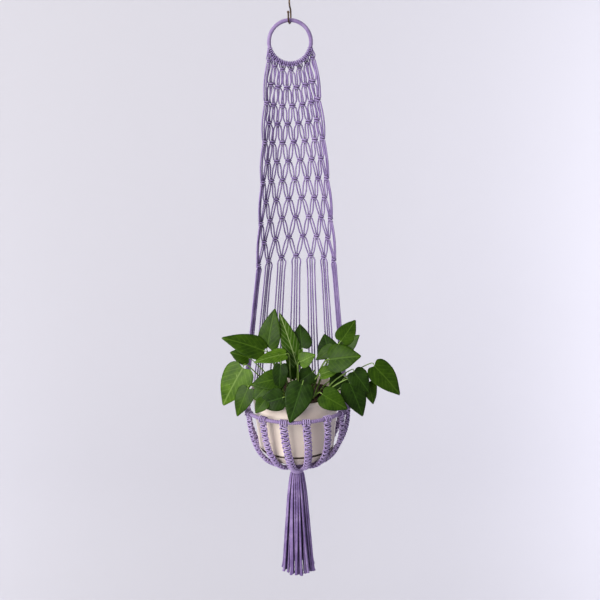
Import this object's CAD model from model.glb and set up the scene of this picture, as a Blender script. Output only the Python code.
import math
import random

import bpy
import numpy as np
from mathutils import Matrix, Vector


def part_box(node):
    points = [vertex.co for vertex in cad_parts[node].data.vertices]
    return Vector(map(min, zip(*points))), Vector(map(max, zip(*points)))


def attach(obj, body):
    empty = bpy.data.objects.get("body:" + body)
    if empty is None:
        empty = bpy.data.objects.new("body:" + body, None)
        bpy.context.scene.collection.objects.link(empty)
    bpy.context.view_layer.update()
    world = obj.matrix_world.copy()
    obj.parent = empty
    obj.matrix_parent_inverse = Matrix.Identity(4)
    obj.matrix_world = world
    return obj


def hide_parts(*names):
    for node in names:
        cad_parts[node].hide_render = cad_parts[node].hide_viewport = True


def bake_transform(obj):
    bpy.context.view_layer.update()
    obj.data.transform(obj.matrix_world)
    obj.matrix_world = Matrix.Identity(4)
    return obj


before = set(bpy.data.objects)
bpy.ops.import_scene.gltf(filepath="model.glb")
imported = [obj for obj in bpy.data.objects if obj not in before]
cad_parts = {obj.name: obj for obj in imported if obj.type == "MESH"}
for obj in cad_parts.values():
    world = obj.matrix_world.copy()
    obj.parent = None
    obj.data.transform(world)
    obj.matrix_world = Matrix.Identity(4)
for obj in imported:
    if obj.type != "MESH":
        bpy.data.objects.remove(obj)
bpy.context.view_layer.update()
print("frame loaded")

random.seed(11)
mm = 0.001


# small maths, all in millimetres

def vec(*xyz):
    return np.array(xyz, float)


def unit(v):
    return v / max(np.linalg.norm(v), 1e-9)


def boxCentre(node):
    low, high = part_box(node)
    return (np.array(low) + np.array(high)) / 2 / mm


def smoothPath(points, perSpan=8):
    # a curve through every point
    p = np.array(points, float)
    p = np.vstack([2 * p[0] - p[1], p, 2 * p[-1] - p[-2]])
    t = np.linspace(0, 1, perSpan, endpoint=False)[:, None]
    spans = []
    for a, b, c, d in zip(p[:-3], p[1:-2], p[2:-1], p[3:]):
        spans.append(0.5 * (2 * b + (c - a) * t + (2 * a - 5 * b + 4 * c - d) * t ** 2
                            + (3 * b - a - 3 * c + d) * t ** 3))
    return np.vstack(spans + [p[-2][None]])


def evenSteps(path, step):
    # the same path with evenly spaced points, and how far along it each one is
    gaps = np.linalg.norm(np.diff(path, axis=0), axis=1)
    run = np.concatenate([[0], np.cumsum(gaps)])
    count = max(3, int(round(run[-1] / step)) + 1)
    at = np.linspace(0, run[-1], count)
    return np.stack([np.interp(at, run, path[:, i]) for i in range(3)], 1), at


def sideways(path):
    # a frame that turns as little as it can along the path
    along = np.gradient(path, axis=0)
    along /= np.maximum(np.linalg.norm(along, axis=1), 1e-9)[:, None]
    helper = vec(1, 0, 0) if abs(along[0][0]) < 0.8 else vec(0, 1, 0)
    side = np.zeros_like(path)
    side[0] = unit(np.cross(along[0], helper))
    for i in range(1, len(path)):
        s = side[i - 1] - along[i] * side[i - 1].dot(along[i])
        side[i] = unit(s)
    return along, side, np.cross(along, side)


noTriangles = np.zeros((0, 3), int)


def gridQuads(rings, sides):
    # the four-sided faces between rings of points, closed all the way round
    i = np.arange(rings - 1)[:, None] * sides
    j = np.arange(sides)[None]
    k = (j + 1) % sides
    return np.stack([i + j, i + k, i + sides + k, i + sides + j], -1).reshape(-1, 4)


def skinTube(path, ringPoints):
    # ringPoints: for each step, the (side, up) offsets of the points round it
    along, side, up = sideways(path)
    rings, sides = ringPoints.shape[0], ringPoints.shape[1]
    verts = (path[:, None] + side[:, None] * ringPoints[..., :1] + up[:, None] * ringPoints[..., 1:])
    verts = verts.reshape(-1, 3)
    ends = np.array([path[0], path[-1]])
    first, last = len(verts), len(verts) + 1
    j, k = np.arange(sides), (np.arange(sides) + 1) % sides
    base = (rings - 1) * sides
    caps = np.vstack([np.stack([np.full(sides, first), k, j], 1),
                      np.stack([np.full(sides, last), base + j, base + k], 1)])
    return np.vstack([verts, ends]), gridQuads(rings, sides), caps


rope = {
    "diameter": 3.0,
    "lay": 10.5,       # length in which one ply goes once round
    "step": 1.1,       # length between two rings of points
    "fray": 0.3,       # how much thicker a cut end is, as a share
}
# three points on each of the three plies, the outer two a little lower
plyAngles = np.radians([middle + turn for middle in (0, 120, 240) for turn in (-38, 0, 38)])
plyRadii = np.array([0.93, 1.0, 0.93] * 3)


def twisted(points, diameter=None, lay=None, foot=1.0, fray=0):
    # three-ply twisted cord along the points; foot is how many times thicker its far end is,
    # and fray the length of its flared tip
    d = diameter or rope["diameter"]
    lay = lay or rope["lay"] * d / 3
    path, at = evenSteps(smoothPath(points), rope["step"] * d / 3)
    turn = random.uniform(0, 6.28) + at[:, None] / lay * 2 * math.pi
    angles = plyAngles[None] + turn
    radii = (d / 2) * plyRadii[None] * np.ones_like(turn)
    radii = radii * (1 + (foot - 1) * (at / at[-1])[:, None] ** 0.7)
    if fray:
        swell = np.clip((at - (at[-1] - fray)) / fray, 0, 1)[:, None]
        radii = radii * (1 + rope["fray"] * swell)
    return skinTube(path, np.stack([np.cos(angles) * radii, np.sin(angles) * radii], -1))


def plainTube(points, radii, sides=8, step=3.0):
    # round tube along the points, its radius changing evenly from one of the radii to the next
    path, at = evenSteps(smoothPath(points), step)
    r = np.interp(at, np.linspace(0, at[-1], len(radii)), radii)[:, None]
    a = np.linspace(0, 2 * math.pi, sides, endpoint=False)[None] + np.zeros((len(at), 1))
    return skinTube(path, np.stack([np.cos(a) * r, np.sin(a) * r], -1))


def makePiece(name, shapes, material, body=None, replaces=(), uvs=None):
    # joins the shapes, (points, four-sided faces, three-sided faces), into one mesh object
    points, quads, tris, n = [], [], [], 0
    for v, q, t in shapes:
        points.append(v)
        quads.append(q + n)
        if len(t):
            tris.append(t + n)
        n += len(v)
    points = np.vstack(points) * mm
    quads = np.vstack(quads)
    tris = np.vstack(tris) if tris else np.zeros((0, 3), int)
    mesh = bpy.data.meshes.new(name)
    mesh.vertices.add(len(points))
    mesh.vertices.foreach_set("co", points.astype(np.float32).ravel())
    loops = np.concatenate([quads.ravel(), tris.ravel()])
    mesh.loops.add(len(loops))
    mesh.loops.foreach_set("vertex_index", loops.astype(np.int32))
    totals = np.concatenate([np.full(len(quads), 4), np.full(len(tris), 3)])
    starts = np.concatenate([[0], np.cumsum(totals)[:-1]])
    mesh.polygons.add(len(totals))
    mesh.polygons.foreach_set("loop_start", starts.astype(np.int32))
    mesh.polygons.foreach_set("loop_total", totals.astype(np.int32))
    mesh.polygons.foreach_set("use_smooth", np.ones(len(totals), bool))
    mesh.update(calc_edges=True)
    mesh.validate()
    if uvs is not None:
        layer = mesh.uv_layers.new(name="leafMap")
        layer.data.foreach_set("uv", np.vstack(uvs)[loops].astype(np.float32).ravel())
    mesh.materials.append(material)
    piece = bpy.data.objects.new(name, mesh)
    bpy.context.scene.collection.objects.link(piece)
    if body:
        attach(piece, body)
    if replaces:
        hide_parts(*replaces)
    return piece


def hexColour(text):
    # sRGB hex to the linear colour that a shader takes
    parts = [int(text[i:i + 2], 16) / 255 for i in (1, 3, 5)]
    return [c / 12.92 if c <= 0.04045 else ((c + 0.055) / 1.055) ** 2.4 for c in parts] + [1]


def addNode(tree, kind, settings=None, inputs=None):
    node = tree.nodes.new(kind)
    for key, value in (settings or {}).items():
        setattr(node, key, value)
    for key, value in (inputs or {}).items():
        if isinstance(value, bpy.types.NodeSocket):
            tree.links.new(value, node.inputs[key])
        else:
            node.inputs[key].default_value = value
    return node


def newMaterial(name, **surface):
    material = bpy.data.materials.new(name)
    material.use_nodes = True
    tree = material.node_tree
    shader = tree.nodes["Principled BSDF"]
    for key, value in surface.items():
        shader.inputs[key.replace("_", " ")].default_value = value
    return material, tree, shader


def cottonMaterial(name, light, mid, dark, hollow, fibreMm, roughness, sheen,
                   hollowMm=6, shut=0.15, clear=0.8):
    # dyed cotton: dull, a little fluffy, its dye slightly uneven, much deeper where cords touch
    material, tree, shader = newMaterial(name, Roughness=roughness)
    shader.inputs["Sheen Weight"].default_value = sheen
    shader.inputs["Sheen Roughness"].default_value = 0.6
    shader.inputs["Sheen Tint"].default_value = hexColour("#e9dff2")
    shader.inputs["Specular IOR Level"].default_value = 0.15
    place = addNode(tree, "ShaderNodeTexCoord").outputs["Object"]
    dye = addNode(tree, "ShaderNodeTexNoise", inputs={
        "Vector": place, "Scale": 1 / (26 * mm), "Detail": 3, "Roughness": 0.6})
    fibres = addNode(tree, "ShaderNodeTexNoise", inputs={
        "Vector": place, "Scale": 1 / (fibreMm * mm), "Detail": 4, "Roughness": 0.7})
    halfDye = addNode(tree, "ShaderNodeMath", {"operation": "MULTIPLY"}, {0: dye.outputs["Fac"], 1: 0.5})
    mixed = addNode(tree, "ShaderNodeMath", {"operation": "MULTIPLY_ADD"}, {
        0: fibres.outputs["Fac"], 1: 0.55, 2: halfDye.outputs[0]})
    ramp = addNode(tree, "ShaderNodeValToRGB", inputs={"Fac": mixed.outputs[0]})
    ramp.color_ramp.elements[0].position = 0.3
    ramp.color_ramp.elements[0].color = hexColour(dark)
    ramp.color_ramp.elements[1].position = 0.75
    ramp.color_ramp.elements[1].color = hexColour(light)
    ramp.color_ramp.elements.new(0.52).color = hexColour(mid)
    shade = addNode(tree, "ShaderNodeAmbientOcclusion", {"samples": 6}, {
        "Distance": hollowMm * mm})
    openness = addNode(tree, "ShaderNodeMapRange", inputs={
        "Value": shade.outputs["AO"], "From Min": shut, "From Max": clear, "To Min": 0.0, "To Max": 1.0})
    shaded = addNode(tree, "ShaderNodeMix", {"data_type": "RGBA"}, {
        0: openness.outputs[0], 6: hexColour(hollow), 7: ramp.outputs["Color"]})
    bump = addNode(tree, "ShaderNodeBump", inputs={
        "Strength": 0.5, "Distance": 0.3 * mm, "Height": fibres.outputs["Fac"]})
    tree.links.new(shaded.outputs[2], shader.inputs["Base Color"])
    tree.links.new(bump.outputs["Normal"], shader.inputs["Normal"])
    return material


# Twisted cotton: 0.6 mm tufts stand for fibres too fine to show
twistedCotton = cottonMaterial("twistedCotton", light="#c8b8d8", mid="#a893c2", dark="#78639a",
                               hollow="#3c2858", fibreMm=0.6, roughness=0.9, sheen=0.25)
# The net's cords, pulled hard: their plies lie closer and the dye looks deeper
tautCotton = cottonMaterial("tautCotton", light="#b09fc4", mid="#8b77a8", dark="#5f4b80",
                            hollow="#2e1c48", fibreMm=0.6, roughness=0.9, sheen=0.15)
# Mercerised cord on the ring and hoop: finer, tighter and a little shinier
wrappingCord = cottonMaterial("mercerisedCord", light="#a393b6", mid="#85719c", dark="#5c4978",
                              hollow="#34244a", fibreMm=0.35, roughness=0.6, sheen=0.15)
# Cut cord ends, combed out and soft: deep shade between them
combedCotton = cottonMaterial("combedCotton", light="#b29ec8", mid="#7a6498", dark="#4a3868",
                              hollow="#2a1942", fibreMm=0.6, roughness=0.95, sheen=0.2,
                              hollowMm=18, shut=0.3, clear=0.9)


def lacqueredWire():
    # bronze-brown lacquer on steel wire: dark, satin, a little worn
    material, tree, shader = newMaterial("bronzeLacqueredSteel", Metallic=0.7, Roughness=0.4)
    place = addNode(tree, "ShaderNodeTexCoord").outputs["Object"]
    wear = addNode(tree, "ShaderNodeTexNoise", inputs={"Vector": place, "Scale": 1 / (4 * mm), "Detail": 5})
    ramp = addNode(tree, "ShaderNodeValToRGB", inputs={"Fac": wear.outputs["Fac"]})
    ramp.color_ramp.elements[0].position = 0.4
    ramp.color_ramp.elements[0].color = hexColour("#3b2c20")
    ramp.color_ramp.elements[1].position = 0.75
    ramp.color_ramp.elements[1].color = hexColour("#7a6450")
    tree.links.new(ramp.outputs["Color"], shader.inputs["Base Color"])
    return material


def zincRing():
    # zinc-plated steel, drawn: faint streaks, hidden but for a sliver at the wrap's ends
    material, tree, shader = newMaterial("zincPlatedSteel", Metallic=1.0, Roughness=0.35)
    place = addNode(tree, "ShaderNodeTexCoord").outputs["Object"]
    streaks = addNode(tree, "ShaderNodeTexNoise",
                      inputs={"Vector": place, "Scale": 1 / (2 * mm), "Detail": 3})
    ramp = addNode(tree, "ShaderNodeValToRGB", inputs={"Fac": streaks.outputs["Fac"]})
    ramp.color_ramp.elements[0].color = hexColour("#8f9194")
    ramp.color_ramp.elements[1].color = hexColour("#c9cacc")
    tree.links.new(ramp.outputs["Color"], shader.inputs["Base Color"])
    return material


def rattanHoop():
    # peeled rattan, bent: long pale grain
    material, tree, shader = newMaterial("peeledRattan", Roughness=0.6)
    place = addNode(tree, "ShaderNodeTexCoord").outputs["Object"]
    grain = addNode(tree, "ShaderNodeTexNoise",
                    inputs={"Vector": place, "Scale": 1 / (1.5 * mm), "Detail": 4})
    ramp = addNode(tree, "ShaderNodeValToRGB", inputs={"Fac": grain.outputs["Fac"]})
    ramp.color_ramp.elements[0].color = hexColour("#a98355")
    ramp.color_ramp.elements[1].color = hexColour("#d8b98a")
    tree.links.new(ramp.outputs["Color"], shader.inputs["Base Color"])
    return material


def mouldedPlastic():
    # injection-moulded polypropylene, cream: satin, with a fine moulded grain and grime in its groove
    material, tree, shader = newMaterial("mouldedPolypropylene", Roughness=0.48, IOR=1.49)
    place = addNode(tree, "ShaderNodeTexCoord").outputs["Object"]
    cloud = addNode(tree, "ShaderNodeTexNoise", inputs={"Vector": place, "Scale": 1 / (60 * mm), "Detail": 3})
    grain = addNode(tree, "ShaderNodeTexNoise",
                    inputs={"Vector": place, "Scale": 1 / (0.8 * mm), "Detail": 2})
    ramp = addNode(tree, "ShaderNodeValToRGB", inputs={"Fac": cloud.outputs["Fac"]})
    ramp.color_ramp.elements[0].position = 0.35
    ramp.color_ramp.elements[0].color = hexColour("#dccdc0")
    ramp.color_ramp.elements[1].position = 0.7
    ramp.color_ramp.elements[1].color = hexColour("#e6dacd")
    bump = addNode(tree, "ShaderNodeBump", inputs={
        "Strength": 0.12, "Distance": 0.2 * mm, "Height": grain.outputs["Fac"]})
    groove = addNode(tree, "ShaderNodeAmbientOcclusion", {"samples": 6}, {"Distance": 7 * mm})
    openness = addNode(tree, "ShaderNodeMapRange", inputs={
        "Value": groove.outputs["AO"], "From Min": 0.3, "From Max": 0.6, "To Min": 0.0, "To Max": 1.0})
    shaded = addNode(tree, "ShaderNodeMix", {"data_type": "RGBA"}, {
        0: openness.outputs[0], 6: hexColour("#3a2414"), 7: ramp.outputs["Color"]})
    tree.links.new(shaded.outputs[2], shader.inputs["Base Color"])
    tree.links.new(bump.outputs["Normal"], shader.inputs["Normal"])
    return material


def peatMix():
    # moist peat and bark: nearly black, with a few brown crumbs
    material, tree, shader = newMaterial("pottingPeat", Roughness=0.95)
    place = addNode(tree, "ShaderNodeTexCoord").outputs["Object"]
    crumbs = addNode(tree, "ShaderNodeTexVoronoi", inputs={"Vector": place, "Scale": 1 / (3 * mm)})
    ramp = addNode(tree, "ShaderNodeValToRGB", inputs={"Fac": crumbs.outputs["Color"]})
    ramp.color_ramp.elements[0].color = hexColour("#1c130d")
    ramp.color_ramp.elements[1].color = hexColour("#5a412c")
    tree.links.new(ramp.outputs["Color"], shader.inputs["Base Color"])
    return material


def waxyLeaf(name, blade, deep, vein, stripe, roughness):
    # waxy leaf: glossy skin, paler midrib and side veins, a few pale flecks
    material, tree, shader = newMaterial(name, Roughness=roughness, IOR=1.45)
    shader.inputs["Specular IOR Level"].default_value = 0.12
    mapping = addNode(tree, "ShaderNodeUVMap", {"uv_map": "leafMap"}).outputs["UV"]
    parts = addNode(tree, "ShaderNodeSeparateXYZ", inputs={"Vector": mapping})
    place = addNode(tree, "ShaderNodeTexCoord").outputs["Object"]
    across = addNode(tree, "ShaderNodeMath", {"operation": "ABSOLUTE"}, {0: parts.outputs["Y"]})
    midrib = addNode(tree, "ShaderNodeMapRange", inputs={
        "Value": across.outputs[0], "From Min": 0.008, "From Max": 0.035, "To Min": 0.8, "To Max": 0.0})
    slant = addNode(tree, "ShaderNodeMath", {"operation": "MULTIPLY_ADD"}, {
        0: across.outputs[0], 1: -0.75, 2: parts.outputs["X"]})
    # 44 radians to a leaf's length give it seven pairs of side veins
    spacing = addNode(tree, "ShaderNodeMath", {"operation": "MULTIPLY"}, {0: slant.outputs[0], 1: 44.0})
    waves = addNode(tree, "ShaderNodeMath", {"operation": "SINE"}, {0: spacing.outputs[0]})
    sideVeins = addNode(tree, "ShaderNodeMapRange", inputs={
        "Value": waves.outputs[0], "From Min": 0.7, "From Max": 1.0, "To Min": 0.0, "To Max": 0.3})
    veins = addNode(tree, "ShaderNodeMath", {"operation": "MAXIMUM"}, {
        0: midrib.outputs[0], 1: sideVeins.outputs[0]})
    mottle = addNode(tree, "ShaderNodeTexNoise", inputs={
        "Vector": place, "Scale": 1 / (16 * mm), "Detail": 5, "Roughness": 0.6})
    base = addNode(tree, "ShaderNodeValToRGB", inputs={"Fac": mottle.outputs["Fac"]})
    base.color_ramp.elements[0].position = 0.35
    base.color_ramp.elements[0].color = hexColour(deep)
    base.color_ramp.elements[1].position = 0.68
    base.color_ramp.elements[1].color = hexColour(blade)
    withVeins = addNode(tree, "ShaderNodeMix", {"data_type": "RGBA"}, {
        0: veins.outputs[0], 6: base.outputs["Color"], 7: hexColour(vein)})
    # five marblings to a leaf's length, on the leaf's own map
    marbling = addNode(tree, "ShaderNodeTexNoise", inputs={
        "Vector": mapping, "Scale": 5.0, "Detail": 6, "Roughness": 0.65})
    flecks = addNode(tree, "ShaderNodeMapRange", inputs={
        "Value": marbling.outputs["Fac"], "From Min": 0.64, "From Max": 0.7, "To Min": 0.0, "To Max": 0.65})
    final = addNode(tree, "ShaderNodeMix", {"data_type": "RGBA"}, {
        0: flecks.outputs[0], 6: withVeins.outputs[2], 7: hexColour(stripe)})
    height = addNode(tree, "ShaderNodeMath", {"operation": "MULTIPLY"}, {0: veins.outputs[0], 1: -1.0})
    bump = addNode(tree, "ShaderNodeBump", inputs={
        "Strength": 0.5, "Distance": 0.6 * mm, "Height": height.outputs[0]})
    tree.links.new(final.outputs[2], shader.inputs["Base Color"])
    tree.links.new(bump.outputs["Normal"], shader.inputs["Normal"])
    return material


def stemSkin():
    # smooth green stem skin, paler where it is new
    material, tree, shader = newMaterial("pothosStemSkin", Roughness=0.45, IOR=1.45)
    place = addNode(tree, "ShaderNodeTexCoord").outputs["Object"]
    blotch = addNode(tree, "ShaderNodeTexNoise",
                     inputs={"Vector": place, "Scale": 1 / (12 * mm), "Detail": 3})
    ramp = addNode(tree, "ShaderNodeValToRGB", inputs={"Fac": blotch.outputs["Fac"]})
    ramp.color_ramp.elements[0].color = hexColour("#4c7020")
    ramp.color_ramp.elements[1].color = hexColour("#86a048")
    tree.links.new(ramp.outputs["Color"], shader.inputs["Base Color"])
    return material


# the driving places, in millimetres: the frame gives the centres

ringCentre = boxCentre("ring_core")
hoopCentre = boxCentre("hoop_core")
net = {
    "knotsWide": 7, "lastRow": 10,
    "first": 48.0, "pitch": 30.0, "stretch": 0.44,    # depth of the rows, and how their spacing grows
    "halfWidth": 38.7, "flare": 0.08,
    "pinch": 8.0, "pinchFade": 90.0,                  # narrowing at the ring, and how far down it fades
    "bow": 5.0, "slant": 0.065, "sideLean": 0.025,
    "edge": 60.0, "knotTurn": 20.0,                   # degrees round the curve to its edge and between knots
    "sag": 11.0, "sagLoss": 1.5, "ringSag": 7.5, "ringSagFade": 1.2,
}
hoop = {"radius": 100.0, "wrapped": 7.4, "drop": float(ringCentre[2] - hoopCentre[2]),
        "backFirst": 159.0, "backStep": -22.5, "frontFirst": -151.0, "frontStep": 24.0}
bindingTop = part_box("gather_wrap")[1].z / mm
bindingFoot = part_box("gather_wrap")[0].z / mm
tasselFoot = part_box("tassel")[0].z / mm


def rowDepth(k):
    return net["first"] + net["pitch"] * k + net["stretch"] * k * k


def knotPlace(k, angle):
    # centre of a knot and the net's direction across it
    depth = rowDepth(k)
    a, edge = math.radians(angle), math.radians(net["edge"])
    width = net["halfWidth"] + net["flare"] * depth - net["pinch"] * math.exp(-depth / net["pinchFade"])
    back = (hoopCentre[1] + hoop["radius"]) * depth / hoop["drop"]
    side = net["sideLean"] * depth
    share = (math.cos(a) - math.cos(edge)) / (1 - math.cos(edge))
    sag = net["sag"] - net["sagLoss"] * k + net["ringSag"] * math.exp(-net["ringSagFade"] * k)
    x = width * math.sin(a) / math.sin(edge)
    place = vec(x + net["bow"] * math.sin(math.pi * depth / hoop["drop"]), side + (back - side) * share,
                ringCentre[2] - depth + sag * (1 - share) + net["slant"] * x)
    across = unit(vec(width * math.cos(a) / math.sin(edge),
                      -(back - side) * math.sin(a) / (1 - math.cos(edge)), 0))
    return place, across


def knotAngle(k, j):
    return -net["edge"] + net["knotTurn"] * (j + (k % 2) / 2)


def knotCount(k):
    return net["knotsWide"] - k % 2


knot = {"cordsAcross": [-6.0, -1.5, 1.5, 6.0], "reach": 5.6, "cord": 2.8, "firstRow": 0.8, "tilt": 0.12}
down = vec(0, 0, -1)


def knotSize(k):
    # the first row is drawn up tight under the ring
    return knot["firstRow"] if k == 0 else 1.0


def strandEnd(k, s, side):
    # where cord s leaves row k, below (side -1) or above (side 1)
    n = s - 2 * (k % 2)
    place, across = knotPlace(k, knotAngle(k, n // 4))
    return place + (across * knot["cordsAcross"][n % 4] + vec(0, 0, side * knot["reach"])) * knotSize(k)


def knotCords(place, across, outward, lengthwise, size):
    # two cords tied round two straight ones; outward is the side that shows
    half = knot["reach"]
    left = [(-6.0, 0, -half), (-5.6, 0, -4.2), (-4.4, 1.0, -3.1), (-2.4, 2.8, -2.6), (0, 3.5, -2.3),
            (2.6, 2.9, -2.0), (4.9, 0.4, -1.0), (3.2, -2.4, 0.4), (0, -3.0, 1.2), (-3, -2.4, 1.9),
            (-4.9, 0, 2.8), (-5.7, 0, 4.2), (-6.0, 0, half)]
    right = [(6.0, 0, -half), (5.6, 0, -4.2), (4.4, -1.0, -3.0), (2.4, -2.6, -2.2), (0, -3.1, -1.8),
             (-3.0, -2.5, -1.2), (-5.0, 0.4, 0.0), (-2.8, 2.8, 1.3), (0, 3.5, 1.7), (2.6, 2.8, 2.1),
             (4.6, 0.6, 3.0), (5.7, 0, 4.2), (6.0, 0, half)]
    cords = []
    for route in (left, right, [(-1.5, 0, -half), (-1.4, 0, 0), (-1.5, 0, half)],
                  [(1.5, 0, -half), (1.4, 0, 0), (1.5, 0, half)]):
        cords.append(twisted([place + (across * x + outward * y + lengthwise * z) * size
                              for x, y, z in route], diameter=knot["cord"] * size))
    return cords


def netKnots(k):
    shapes = []
    for j in range(knotCount(k)):
        place, across = knotPlace(k, knotAngle(k, j))
        outward = unit(np.cross(across, vec(0, 0, 1)))
        leaning = unit(down + across * random.uniform(-knot["tilt"], knot["tilt"]))
        shapes += knotCords(place, across, outward, leaning, knotSize(k))
    return shapes


strand = {
    "pull": 0.85,                           # how strongly a cord keeps the direction it leaves a knot in
    "points": 8, "jitter": 0.6,
    "splay": [-0.42, -0.12, 0.12, 0.42],    # how far each of a knot's four cords leans sideways
    "edgeBulge": (1.0, 2.0), "edgeForward": -4.5,
    "bend": (22, 62),                       # depths below the ring's centre between which the cords bend
}


def strandRoute(start, end, lead, arrive):
    # a curve that leaves along lead and comes in along arrive
    reach = np.linalg.norm(end - start) * strand["pull"]
    t = np.linspace(0, 1, strand["points"])[:, None]
    wide = strand["jitter"]
    jitter = vec(random.uniform(-wide, wide), random.uniform(-wide, wide), 0)
    return ((2 * t ** 3 - 3 * t ** 2 + 1) * start + (t ** 3 - 2 * t ** 2 + t) * unit(lead) * reach
            + (3 * t ** 2 - 2 * t ** 3) * end + (t ** 3 - t ** 2) * unit(arrive) * reach
            + np.sin(math.pi * t) * jitter)


def knotLead(k, s, side):
    # direction of cord s at a knot: the tying cords splay, the inner two keep to the middle
    n = s - 2 * (k % 2)
    across = knotPlace(k, knotAngle(k, n // 4))[1]
    return down - side * across * strand["splay"][n % 4]


print("net")
lastStrand = 4 * net["knotsWide"] - 1
for k in range(net["lastRow"] + 1):
    makePiece("square_knots_%02d" % k, netKnots(k), tautCotton,
              "ring" if k == 0 else "hanger", ["knot_row_%02d" % k])
for k in range(1, net["lastRow"] + 1):
    shapes = []
    for s in range(2, lastStrand - 1):
        shapes.append(twisted(strandRoute(strandEnd(k - 1, s, -1), strandEnd(k, s, 1),
                                          knotLead(k - 1, s, -1), knotLead(k, s, 1))))
    if k % 2 == 0:
        for s in (0, 1, lastStrand - 1, lastStrand):
            start, end = strandEnd(k - 2, s, -1), strandEnd(k, s, 1)
            # the outermost cords skip a row, and bulge out and forward on their way
            swing = vec((-1 if s < 2 else 1) * random.uniform(*strand["edgeBulge"]), strand["edgeForward"], 0)
            shapes.append(twisted([start, start * 0.66 + end * 0.34 + swing,
                                   start * 0.34 + end * 0.66 + swing, end]))
    blended = k == 1
    piece = makePiece("net_cords_%02d" % k, shapes, tautCotton, None if blended else "hanger",
                      ["strand_row_%02d" % k])
    if blended:
        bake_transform(piece)


print("hoop bundles")


def hoopFrame(angle):
    a = math.radians(angle)
    radial = vec(math.cos(a), math.sin(a), 0)
    return hoopCentre + radial * hoop["radius"], radial, vec(-math.sin(a), math.cos(a), 0)


def hoopAngle(i):
    if i < net["knotsWide"]:
        return hoop["backFirst"] + hoop["backStep"] * i
    return hoop["frontFirst"] + hoop["frontStep"] * (i - net["knotsWide"])


hitch = {
    "across": [-10.0, -3.0, 3.0, 10.0],    # the four cords of a bundle, side by side on the hoop
    "radius": hoop["wrapped"] / 2 + 1.3,
    "cord": 2.8, "overlap": 0.5, "advance": 1.6,
    "topRise": 7.0, "footDrop": 8.0, "draw": 0.55,
}


def hitchRoute(centre, radial, along, across):
    # once round the hoop, from the outside down, and out below
    points = []
    for n in range(9):
        a = math.radians(-45 * n)
        r = hitch["radius"] + (hitch["overlap"] if n in (0, 8) else 0)
        points.append(centre + radial * r * math.cos(a) + vec(0, 0, 1) * r * math.sin(a)
                      + along * (across + hitch["advance"] * (n / 8 - 0.5)))
    return points


hitches = []
for j in range(net["knotsWide"]):
    centre, radial, tangent = hoopFrame(hoopAngle(j))
    along = -tangent
    knotAcross = knotPlace(net["lastRow"], knotAngle(net["lastRow"], j))[1]
    bundle = []
    for n in range(4):
        start = strandEnd(net["lastRow"], 4 * j + n, -1)
        turn = hitchRoute(centre, radial, along, hitch["across"][n])
        top = turn[0] + vec(0, 0, hitch["topRise"]) - radial
        # just below the last knot a bundle's cords draw together
        settled = start + (top - start) * 0.12 + knotAcross * (n - 1.5) * 0.5
        lead = knotLead(net["lastRow"], 4 * j + n, -1)
        bundle.append(twisted([start, start + lead * 5, settled, (settled + top) / 2, top]))
        foot = centre + along * hitch["across"][n] * hitch["draw"] + vec(0, 0, -hitch["footDrop"])
        hitches.append(twisted([top] + turn + [foot + vec(0, 0, 2.5) + radial * 3.5, foot],
                               diameter=hitch["cord"]))
    makePiece("hanging_cords_%d" % (j + 1), bundle, tautCotton, "hanger",
              ["bundle_%d" % (j + 1)])
makePiece("back_hitches", hitches, twistedCotton, "hanger", ["hoop_hitches"])


ring = {"radius": 36.5, "core": 4.0, "wrapped": 7.0, "underHeads": 5.0, "headArc": 150.0, "heads": 14}
larksHeadCord = 2.6


def larksHead(centre, outer, along, front, tube, feet, pitch):
    # a doubled cord folded round a tube; the bar lies across the front
    cord = larksHeadCord
    r = tube / 2 + cord / 2

    def spot(side, angle, offset, lift=0.0):
        # a place round the tube: angle from the outer side, offset along the tube, lift off it
        a = math.radians(angle)
        return (centre + (outer * math.cos(a) + front * math.sin(a)) * (r + lift)
                + along * side * offset * pitch)

    shapes = []
    for side in (-1, 1):
        route = [spot(side, 58, 0, cord * 0.8), spot(side, 50, 0.2, cord * 0.75), spot(side, 15, 0.42, 0.5),
                 spot(side, -30, 0.42), spot(side, -80, 0.34), spot(side, -130, 0.27)]
        route += [spot(side, angle, 0.24) for angle in (180, 130, 90, 58)]
        route += [spot(side, 28, 0.24, cord * 0.3), feet[side]]
        shapes.append(twisted(route, diameter=cord))
    return shapes


print("ring and hoop")
heads = []
headPitch = ring["headArc"] / ring["heads"]
for i in range(ring["heads"]):
    a = math.radians(-90 - ring["headArc"] / 2 + headPitch * (i + 0.5))
    outer = vec(math.cos(a), 0, math.sin(a))
    along = vec(-math.sin(a), 0, math.cos(a))
    feet = {-1: strandEnd(0, 2 * i, 1), 1: strandEnd(0, 2 * i + 1, 1)}
    heads += larksHead(ringCentre + outer * ring["radius"], outer, along, vec(0, -1, 0),
                       ring["core"], feet, ring["radius"] * math.radians(headPitch))
makePiece("ring_larks_heads", heads, tautCotton, "ring", ["larks_heads"])

pair = {"half": 3.7, "cords": 1.6, "draw": 0.85, "footDrop": 7.5, "pitch": 7.2}
frontHeads = []
for i in range(net["knotsWide"], 2 * net["knotsWide"]):
    centre, radial, tangent = hoopFrame(hoopAngle(i))
    for half in (-pair["half"], pair["half"]):
        feet = {side: centre + tangent * (half + side * pair["cords"]) * pair["draw"]
                + vec(0, 0, -pair["footDrop"]) for side in (-1, 1)}
        frontHeads += larksHead(centre + tangent * half, vec(0, 0, -1), tangent, radial,
                                hoop["wrapped"], feet, pair["pitch"])
makePiece("front_larks_heads", frontHeads, twistedCotton, "hanger", ["hoop_larks_heads"])


winding = {"ringCord": 1.7, "ringRib": 0.4, "hoopCord": 3.6, "hoopRib": 1.5, "hoopStart": -164,
           "ringsPerTurn": 6, "sides": 18, "swell": 0.6}


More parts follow.
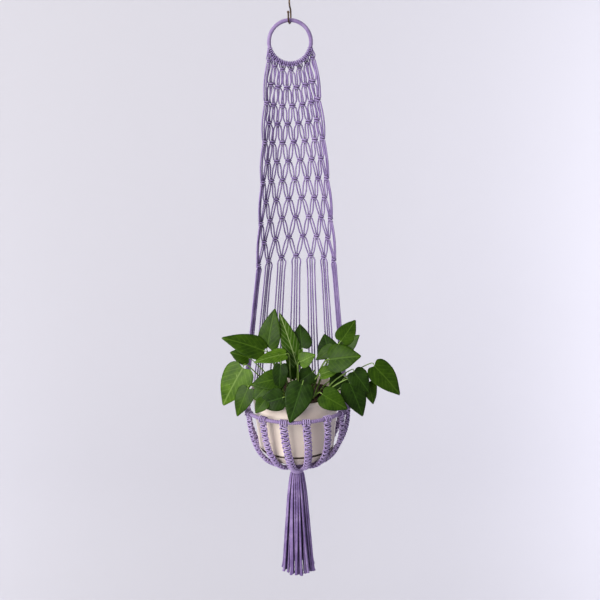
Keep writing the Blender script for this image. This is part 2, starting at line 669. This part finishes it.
def wrapMesh(centre, radius, tube, first, span, pitch, plane, rib):
    # close winding of cord round a tube that is itself bent into a ring; rib is how far it stands out
    length = math.radians(span) * radius
    rings, sides = int(length / pitch * winding["ringsPerTurn"]), winding["sides"]
    u = np.linspace(0, 1, rings)[:, None]
    v = np.linspace(0, 2 * math.pi, sides, endpoint=False)[None]
    turn = u * length / pitch * 2 * math.pi + v
    swell = np.abs(np.sin(turn / 2)) ** winding["swell"]
    r = tube / 2 - rib + rib * swell
    a = math.radians(first) + u * math.radians(span)
    reach = radius + r * np.cos(v)
    lift = r * np.sin(v)
    if plane == "upright":
        points = np.stack([reach * np.cos(a), -lift, reach * np.sin(a)], -1)
    else:
        points = np.stack([reach * np.cos(a), reach * np.sin(a), lift], -1)
    return points.reshape(-1, 3) + centre, gridQuads(rings, sides), noTriangles


makePiece("ring_winding",
          [wrapMesh(ringCentre, ring["radius"], ring["wrapped"], ring["headArc"] / 2 - 90,
                    360 - ring["headArc"], winding["ringCord"], "upright", winding["ringRib"]),
           wrapMesh(ringCentre, ring["radius"], ring["underHeads"], -90 - ring["headArc"] / 2,
                    ring["headArc"], winding["ringCord"], "upright", winding["ringRib"])],
          wrappingCord, "ring", ["ring_wrap"])
makePiece("hoop_winding",
          [wrapMesh(hoopCentre, hoop["radius"], hoop["wrapped"], winding["hoopStart"],
                    360, winding["hoopCord"], "flat", winding["hoopRib"])],
          wrappingCord, "hanger", ["hoop_wrap"])


print("basket")
# roundness 1 would be an ellipse, and less than 1 is fuller; the curve runs from first to last degrees
basket = {"depth": 124.0, "roundness": 2 / 2.4, "twist": 7.0, "first": 1.9, "last": 72.0, "points": 160}


def basketCurve(t):
    a = math.radians(t)
    return (hoop["radius"] * math.cos(a) ** basket["roundness"],
            -basket["depth"] * math.sin(a) ** basket["roundness"])


basketPoints = np.array([basketCurve(t)
                         for t in np.linspace(basket["first"], basket["last"], basket["points"])])
basketRun = np.concatenate([[0], np.cumsum(np.linalg.norm(np.diff(basketPoints, axis=0), axis=1))])


def basketPlace(s, angle):
    # point, outward direction and direction across, at length s down a basket cord
    s = min(max(s, 0), basketRun[-1])
    r, z = (np.interp(s, basketRun, basketPoints[:, i]) for i in (0, 1))
    r2, z2 = (np.interp(min(s + 1, basketRun[-1]), basketRun, basketPoints[:, i]) for i in (0, 1))
    r1, z1 = (np.interp(max(s - 1, 0), basketRun, basketPoints[:, i]) for i in (0, 1))
    slope = unit(vec(r2 - r1, z2 - z1))
    a = math.radians(angle + basket["twist"] * s / basketRun[-1])
    radial, tangent = vec(math.cos(a), math.sin(a), 0), vec(-math.sin(a), math.cos(a), 0)
    outward = radial * -slope[1] + vec(0, 0, 1) * slope[0]
    return hoopCentre + radial * r + vec(0, 0, z), outward, tangent


sennit = {"cell": 9.2, "half": 6.0, "cord": 3.0, "core": 1.5, "lean": 0.3, "loose": 0.08}
knotsPerSennit = int(basketRun[-1] / sennit["cell"])
gatherEnds = []


def sennitShapes(angle, flip):
    w, cell = sennit["half"], basketRun[-1] / knotsPerSennit
    # one square knot: across, outward, share of the knot's length
    leftCell = [(-w, -0.4, 0.0), (-w * 0.65, 2.2, 0.09), (0, 3.6, 0.18), (w * 0.65, 2.6, 0.27), (w, 0.2, 0.42),
                (w, -0.4, 0.5), (w * 0.65, 2.2, 0.59), (0, 3.6, 0.68), (-w * 0.65, 2.6, 0.77), (-w, 0.2, 0.92)]
    rightCell = [(w + 0.8, 1.6, 0.0), (w * 0.65, -2.2, 0.12), (0, -2.8, 0.2), (-w * 0.65, -2.1, 0.29),
                 (-w - 0.5, 0.3, 0.4), (-w - 0.8, 1.6, 0.5), (-w * 0.65, -2.1, 0.62), (0, -2.8, 0.7),
                 (w * 0.65, -2.2, 0.79), (w + 0.5, 0.3, 0.9)]
    routes = {"left": [], "right": [], "coreLeft": [], "coreRight": []}
    lean = random.uniform(-sennit["lean"], sennit["lean"])
    for n in range(knotsPerSennit):
        loose = random.uniform(1 - sennit["loose"], 1 + sennit["loose"])
        for key, cellPoints in (("left", leftCell), ("right", rightCell)):
            for x, y, z in cellPoints:
                routes[key].append((flip * x * loose, y, (n + z) * cell))
        routes["coreLeft"].append((lean - sennit["core"], 0, (n + 0.5) * cell))
        routes["coreRight"].append((lean + sennit["core"], 0, (n + 0.5) * cell))
    shapes = []
    for route in routes.values():
        points = []
        for x, y, s in [(route[0][0] / 2, 0, -1)] + route:
            place, outward, tangent = basketPlace(s, angle)
            points.append(place + outward * y + tangent * x)
        shapes.append(twisted(points, diameter=sennit["cord"]))
        gatherEnds.append((points[-1], angle))
    return shapes


for i in range(2 * net["knotsWide"]):
    makePiece("basket_sennit_%02d" % (i + 1), sennitShapes(hoopAngle(i), 1 if i % 2 else -1),
              twistedCotton, "hanger", ["sennit_%02d" % (i + 1)])

gather = {"neck": 10.5, "outer": 0.98, "inner": 0.7, "fan": 5.0, "sag": 1.5, "into": 4.0}
gathered = []
for n, (start, angle) in enumerate(gatherEnds):
    # a sennit's four cords fan out a little, and every other one lies further in
    a = math.radians(angle + basket["twist"] + (n % 4 - 1.5) * gather["fan"])
    radial = vec(math.cos(a), math.sin(a), 0)
    neck = (vec(hoopCentre[0], hoopCentre[1], bindingTop)
            + radial * gather["neck"] * (gather["outer"] if n % 2 else gather["inner"]))
    middle = (start + neck) / 2 + vec(0, 0, -gather["sag"])
    gathered.append(twisted([start, middle, neck + (radial + vec(0, 0, 1)) * 1.5,
                             neck + vec(0, 0, -gather["into"])]))
makePiece("drawn_in_cords", gathered, twistedCotton, "hanger", ["gathered_strands"])

binding = {"turns": 3.2, "cord": 3.0, "radius": 11.6, "start": -1.2, "pointsPerTurn": 16}
coil = []
coilSteps = binding["turns"] * binding["pointsPerTurn"]
for n in range(int(coilSteps) + 1):
    a = n / binding["pointsPerTurn"] * 2 * math.pi + binding["start"]
    height = bindingTop - binding["cord"] / 2 - (bindingTop - bindingFoot - binding["cord"]) * n / coilSteps
    coil.append(vec(hoopCentre[0], hoopCentre[1], height)
                + vec(math.cos(a), math.sin(a), 0) * binding["radius"])
makePiece("binding_coil", [twisted(coil, diameter=binding["cord"])], twistedCotton,
          "hanger", ["gather_wrap"])

print("tassel")
tassel = {
    "layers": [(0.98, 27), (0.84, 20), (0.55, 7), (0.2, 2)],    # share of the radius, and cords in it
    "shoulder": 14.5, "foot": 35.5, "inside": 2.0, "overlap": 4.0,
    "cord": 3.0, "lay": 30, "swell": 1.7, "fray": 9,
    "ragged": 5.0, "stray": 7.0, "bend": (2, 26),
    # how far down a cord, and how much of its spread it has there
    "spread": [(0.075, 0.0), (0.25, 0.26), (0.5, 0.5), (0.75, 0.72), (0.92, 0.88), (1.0, 1.0)],
}
tasselShapes = []
tasselTop = bindingFoot + tassel["overlap"]
for share, count in tassel["layers"]:
    for n in range(count):
        a = 2 * math.pi * (n + random.uniform(-0.3, 0.3)) / count
        radial = vec(math.cos(a), math.sin(a), 0)
        swirl = vec(-math.sin(a), math.cos(a), 0)
        top = vec(hoopCentre[0], hoopCentre[1], tasselTop) + radial * gather["neck"] * share
        length = tasselTop - tasselFoot - random.uniform(0, tassel["ragged"])
        reach = tassel["foot"] * share * random.uniform(0.82, 1.0) - tassel["inside"]
        shoulder = tassel["shoulder"] * share * random.uniform(0.88, 1.0)
        stray = random.uniform(-tassel["stray"], tassel["stray"])
        route = [top, top + radial * 0.5 + vec(0, 0, -tassel["overlap"])]
        for fall, spread in tassel["spread"]:
            r = shoulder + (reach - shoulder) * spread
            route.append(vec(hoopCentre[0], hoopCentre[1], tasselTop - length * fall) + radial * r
                         + swirl * stray * fall * fall)
        tasselShapes.append(twisted(route, diameter=tassel["cord"], lay=tassel["lay"],
                                    foot=tassel["swell"], fray=tassel["fray"]))
tasselPiece = makePiece("tassel_cords", tasselShapes, combedCotton, None, ["tassel"])
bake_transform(tasselPiece)


print("pot")
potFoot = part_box("pot")[0].z / mm
potAxis = vec(hoopCentre[0], hoopCentre[1], potFoot)


def lathe(profile, sides=96, perSpan=6):
    # turns a profile of (radius, height) points into a surface about the pot's axis
    p = smoothPath([(r, 0, z) for r, z in profile], perSpan)[:, [0, 2]]
    a = np.linspace(0, 2 * math.pi, sides, endpoint=False)
    rings = np.stack([p[:, 0][:, None] * np.cos(a), p[:, 0][:, None] * np.sin(a),
                      np.repeat(p[:, 1][:, None], sides, 1)], -1).reshape(-1, 3) + potAxis
    return rings, gridQuads(len(p), sides), noTriangles


creamPlastic = mouldedPlastic()
# foot, the step down to the saucer's rim, the tapered side, the rolled rim, and the inside down to the soil
potProfile = [(3, 0), (40, 0), (53, 0.2), (57, 1.5), (61.5, 8), (66, 14.5), (66.8, 18), (67.6, 19.6),
              (71.6, 20.2), (72.7, 22.5), (74, 33), (77, 68), (80.4, 100), (83.2, 119), (84.6, 122.6),
              (85.9, 125), (86, 128), (84.9, 130), (83.6, 129.6), (82.8, 127), (80.2, 115), (77.5, 100)]
makePiece("round_pot", [lathe(potProfile)], creamPlastic, "pot", ["pot"])
# underside, outer wall, lip, and the same way back inside
saucerProfile = [(3, -3.4), (40, -3.4), (51, -3.4), (54.5, -2.9), (58, -0.4), (64.4, 7), (70.2, 13.8),
                 (71.8, 15.4), (71.6, 16), (70.8, 16), (69.6, 14.8), (63, 7.6), (56, 0.6), (51, -0.2),
                 (40, -0.2), (3, -0.2)]
makePiece("clip_on_saucer", [lathe(saucerProfile)], creamPlastic, "pot", ["saucer"])

soil = {"radius": 79.6, "height": 117.0, "rough": 2.4, "crumbs": 260,
        "rings": 26, "sides": 90, "crumbSize": (1.0, 2.6)}
soilPoints = []
for i in range(soil["rings"] + 1):
    share = i / soil["rings"]
    for j in range(soil["sides"]):
        r, a = soil["radius"] * share, 2 * math.pi * j / soil["sides"]
        # calmer where it meets the pot
        bump = random.uniform(-1, 1) * soil["rough"] * (0.3 + 0.7 * (1 - share ** 6))
        soilPoints.append(potAxis + vec(r * math.cos(a), r * math.sin(a), soil["height"] - 2 + bump))
soilShapes = [(np.array(soilPoints), gridQuads(soil["rings"] + 1, soil["sides"]), noTriangles)]
cube = np.array([(x, y, z) for x in (-1, 1) for y in (-1, 1) for z in (-1, 1)], float)
cubeFaces = np.array([(0, 1, 3, 2), (4, 6, 7, 5), (0, 4, 5, 1), (2, 3, 7, 6), (0, 2, 6, 4), (1, 5, 7, 3)])
for n in range(soil["crumbs"]):
    # a crumb is a cube, squashed and knocked out of square
    r, a = soil["radius"] * 0.96 * math.sqrt(random.random()), random.uniform(0, 6.28)
    size = random.uniform(*soil["crumbSize"])
    chip = cube * size * np.array([random.uniform(0.4, 1) for _ in range(3)])
    chip = chip + np.array([[random.uniform(-0.4, 0.4) * size for _ in range(3)] for _ in range(8)])
    place = potAxis + vec(r * math.cos(a), r * math.sin(a), soil["height"] + size * 0.3)
    soilShapes.append((chip + place, cubeFaces, noTriangles))
makePiece("potting_soil_top", soilShapes, peatMix(), "pot", ["soil"])


print("plant")
# base, tip, width, facing: across, front to back, and depth below the ring's centre
leaves = [
    ((-53, -30, 556), (-126, -42, 521), 48, (0.1, -0.7, 0.7), "mid"),
    ((-52, -20, 555), (-39, -8, 484), 42, (-0.2, -1, 0.1), "mid"),
    ((4, -28, 588), (-23, -12, 492), 36, (0.3, -1, 0.1), "pale"),
    ((14, -20, 556), (10, 0, 514), 38, (0, -1, 0.3), "dark"),
    ((84, -40, 536), (112, -28, 500), 36, (0.1, -1, 0.3), "mid"),
    ((84, -36, 556), (115, -42, 524), 32, (0, -0.8, 0.6), "mid"),
    ((66, -20, 574), (56, 0, 534), 42, (0, -1, 0.2), "dark"),
    ((60, -46, 568), (114, -66, 553), 56, (0, -0.8, 0.6), "mid"),
    ((143, -45, 578), (194, -60, 628), 50, (0.3, -0.8, 0.5), "mid"),
    ((106, -55, 586), (134, -76, 618), 38, (0, -0.8, 0.6), "dark"),
    ((134, -52, 610), (146, -62, 648), 30, (0.4, -0.8, 0.3), "mid"),
    ((98, -66, 602), (124, -80, 664), 46, (0.2, -1, 0.3), "dark"),
    ((46, -88, 618), (92, -96, 645), 42, (0, -1, 0.3), "mid"),
    ((14, -86, 596), (-9, -120, 656), 50, (0, -1, 0.4), "dark"),
    ((-20, -94, 622), (-66, -98, 634), 42, (0, -1, 0.3), "dark"),
    ((-54, -92, 626), (-72, -104, 646), 26, (-0.2, -1, 0.3), "mid"),
    ((-86, -64, 612), (-110, -76, 662), 36, (-0.4, -1, 0.2), "mid"),
    ((-94, -46, 577), (-136, -62, 644), 60, (-0.3, -0.9, 0.3), "bright"),
    ((-84, -26, 570), (-118, -28, 556), 34, (0, -0.8, 0.6), "mid"),
    ((-14, -44, 556), (-72, -56, 562), 30, (0, -0.6, 0.8), "bright"),
    ((-20, -62, 596), (-76, -78, 600), 40, (0, -0.8, 0.6), "mid"),
    ((-26, -64, 566), (-30, -82, 618), 28, (0, -1, 0.4), "dark"),
    ((8, -58, 568), (34, -64, 552), 30, (0, -0.8, 0.6), "bright"),
    ((-48, -72, 604), (-74, -88, 626), 38, (-0.2, -0.9, 0.4), "mid"),
    ((44, -50, 596), (82, -54, 580), 26, (0, -0.7, 0.7), "bright"),
    ((34, -40, 592), (4, -48, 612), 36, (0, -1, 0.3), "dark"),
    ((92, -30, 604), (66, -42, 628), 40, (0, -1, 0.3), "dark"),
    ((-16, -8, 584), (-2, -16, 616), 38, (0, -1, 0.3), "dark"),
    ((74, -20, 552), (40, -26, 572), 26, (0, -0.8, 0.6), "mid"),
]
leafShape = {"rings": 12, "around": 56, "fold": 0.1, "droop": 0.2, "cup": 0.004, "ripple": 0.9, "thick": 0.5,
             "stalkEnd": 0.07}


def leafPlace(p):
    return vec(p[0], p[1], ringCentre[2] - p[2])


def leafMesh(base, tip, width, facing):
    # heart outline filled in rings round the stalk's end, folded and drooping
    length = np.linalg.norm(tip - base)
    ahead = unit(tip - base)
    normal = np.array(facing, float)
    normal = unit(normal - ahead * normal.dot(ahead))
    across = np.cross(normal, ahead)
    n, m = leafShape["rings"], leafShape["around"]
    t = np.linspace(-math.pi, math.pi, m, endpoint=False) + math.pi / m
    # the outline, t from -pi to pi: the notch where the stalk joins is at 0 and the tip at both ends
    ox = length * (0.48 - 0.52 * np.cos(t) - 0.1 * np.sin(t) ** 2 + 0.11 * np.exp(-(t / 0.3) ** 2))
    ox = ox + 0.06 * length * np.exp(-((np.abs(t) - math.pi) / 0.35) ** 2)
    away = (1 - np.cos(t)) / 2
    oy = width / 2 * np.sin(t) * (1.16 - 0.3 * away - 0.3 * away ** 5)
    share = np.linspace(0, 1, n + 1)[1:][:, None]
    middle = leafShape["stalkEnd"] * length
    x = np.concatenate([[middle], ((1 - share) * middle + share * ox).ravel()])
    y = np.concatenate([[0], (share * oy).ravel()])
    waves = np.sin(x / length * 9 + random.uniform(0, 6)) * (np.abs(y) / (width / 2)) ** 2
    z = (leafShape["fold"] * np.abs(y) - leafShape["cup"] * y * y + leafShape["ripple"] * waves
         + leafShape["droop"] * (0.35 * x - x * np.abs(x) / length))
    top = base + np.outer(x, ahead) + np.outer(y, across) + np.outer(z, normal)
    under = top - normal * leafShape["thick"]

    def grid(r, c):
        # number of the point in ring r at place c; the middle of the leaf is point 0
        return 1 + r * m + c % m

    quads, tris = [], []
    size = len(x)
    for c in range(m):
        tris.append((0, grid(0, c), grid(0, c + 1)))
        tris.append((size, size + grid(0, c + 1), size + grid(0, c)))
        for r in range(n - 1):
            corners = [grid(r, c), grid(r + 1, c), grid(r + 1, c + 1), grid(r, c + 1)]
            quads.append(corners)
            quads.append([size + corner for corner in (corners[0], corners[3], corners[2], corners[1])])
        quads.append((grid(n - 1, c), size + grid(n - 1, c), size + grid(n - 1, c + 1), grid(n - 1, c + 1)))
    uv = np.stack([x / length, y / width], 1)
    return (np.vstack([top, under]), np.array(quads), np.array(tris)), np.vstack([uv, uv])


leafMaterials = {
    "bright": waxyLeaf("waxyLeafBright", "#4b6a12", "#2f4a0a", "#67803a", "#7d9050", 0.42),
    "mid": waxyLeaf("waxyLeafGreen", "#334e09", "#1f3605", "#446018", "#4c6824", 0.4),
    "dark": waxyLeaf("waxyLeafDeepGreen", "#233b08", "#122403", "#2e4a12", "#325018", 0.4),
    "pale": waxyLeaf("waxyLeafPaleMidrib", "#3a5810", "#243f08", "#8fa268", "#879c60", 0.38),
}
stalk = {"radii": [1.7, 1.5, 1.3, 1.2, 0.8], "gather": 0.4, "arch": 0.12, "behind": 3.0}
soilTop = potAxis[2] + soil["height"]
stalks = []
leafPieces = {key: ([], []) for key in leafMaterials}
for base, tip, width, facing, kind in leaves:
    base, tip = leafPlace(base), leafPlace(tip)
    shape, uv = leafMesh(base, tip, width, facing)
    leafPieces[kind][0].append(shape)
    leafPieces[kind][1].append(uv)
    # the stalk comes up behind its leaf
    crown = vec(base[0] * stalk["gather"], max(base[1] + 14, hoopCentre[1] - 62), soilTop - 2)
    ahead = unit(tip - base)
    behind = (np.array(facing, float) + ahead) * -stalk["behind"]
    arch = (crown + base) / 2 + vec(0, 3, stalk["arch"] * np.linalg.norm(base - crown))
    stalks.append(plainTube([crown, (crown + arch) / 2 + vec(0, 0, 3), arch, base + behind,
                             base + (tip - base) * 0.08], stalk["radii"]))
for kind, (shapes, uvs) in leafPieces.items():
    makePiece("pothos_leaves_" + kind, shapes, leafMaterials[kind], "pot",
              ["plant"] if kind == "mid" else (), uvs)
makePiece("pothos_stalks", stalks, stemSkin(), "pot", ())


def repaint(node, material):
    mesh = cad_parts[node].data
    mesh.materials.clear()
    mesh.materials.append(material)


repaint("wire_hook", lacqueredWire())
repaint("ring_core", zincRing())
repaint("hoop_core", rattanHoop())


print("stage")
# in metres: a floor that curves up into the wall
stage = {"wallY": 1.7, "floorZ": -2.5, "top": 3.0, "curve": 0.8, "steps": 12, "halfWidth": 9.0, "front": -9.0,
         "colour": "#bcbbc1"}
profile = [(stage["front"], stage["floorZ"])]
for n in range(stage["steps"] + 1):
    a = math.pi / 2 * n / stage["steps"]
    profile.append((stage["wallY"] - stage["curve"] + stage["curve"] * math.sin(a),
                    stage["floorZ"] + stage["curve"] - stage["curve"] * math.cos(a)))
profile.append((stage["wallY"], stage["top"]))
wallPoints = np.array([(x, y, z) for y, z in profile for x in (-stage["halfWidth"], stage["halfWidth"])]) / mm
wallFaces = np.array([(2 * n, 2 * n + 1, 2 * n + 3, 2 * n + 2) for n in range(len(profile) - 1)])
# Matt paper: no shine of its own
paper, tree, shader = newMaterial("paleStudioPaper", Roughness=0.9)
shader.inputs["Base Color"].default_value = hexColour(stage["colour"])
backdrop = makePiece("backdrop", [(wallPoints, wallFaces, noTriangles)], paper)


def softLight(name, place, aim, size, power, colour):
    # a square soft box at place, turned to aim
    lamp = bpy.data.lights.new(name, "AREA")
    lamp.size = size
    lamp.energy = power
    lamp.color = hexColour(colour)[:3]
    light = bpy.data.objects.new(name, lamp)
    light.location = place
    direction = np.array(aim, float) - np.array(place, float)
    yaw = math.atan2(direction[0], -direction[1])
    pitch = math.atan2(np.hypot(direction[0], direction[1]), -direction[2])
    light.rotation_euler = (pitch, 0, yaw + math.pi)
    bpy.context.scene.collection.objects.link(light)


# the key and fill face the planter; the wall lights stand behind it and turn to the wall
softLight("keyLight", place=(-2.6, -3.1, 1.3), aim=(0, 0, -0.7), size=3.4, power=330, colour="#fffdfa")
softLight("fillLight", place=(2.4, -3.0, -0.4), aim=(0, 0, -0.6), size=2.2, power=4, colour="#e8ecff")
for name, place, aim, size, power in (("wallLightRight", (3.3, 0.2, -0.9), (3.3, 1.7, -0.8), 3.0, 145),
                                      ("wallLightLeft", (-2.9, 0.5, -2.0), (-2.7, 1.7, -1.8), 2.0, 35)):
    softLight(name, place, aim, size, power, colour="#f4f4ff")

air = {"colour": "#e6e6ee", "strength": 0.4}
world = bpy.data.worlds.new("studioAir")
bpy.context.scene.world = world
world.use_nodes = True
world.node_tree.nodes["Background"].inputs["Color"].default_value = hexColour(air["colour"])
world.node_tree.nodes["Background"].inputs["Strength"].default_value = air["strength"]

view = {"distance": 1.712, "right": 0.0108, "pitch": 15.2, "roll": -0.85, "lens": 57.0}
cameraData = bpy.data.cameras.new("camera")
cameraData.lens = view["lens"]
cameraData.sensor_width = 36
camera = bpy.data.objects.new("camera", cameraData)
camera.location = (view["right"], -view["distance"], ringCentre[2] * mm)
tiltDown = math.radians(90 - view["pitch"])
camera.rotation_euler = (Matrix.Rotation(tiltDown, 3, "X")
                         @ Matrix.Rotation(math.radians(view["roll"]), 3, "Z")).to_euler()
bpy.context.scene.collection.objects.link(camera)
bpy.context.scene.camera = camera
bpy.context.scene.view_settings.view_transform = "Standard"
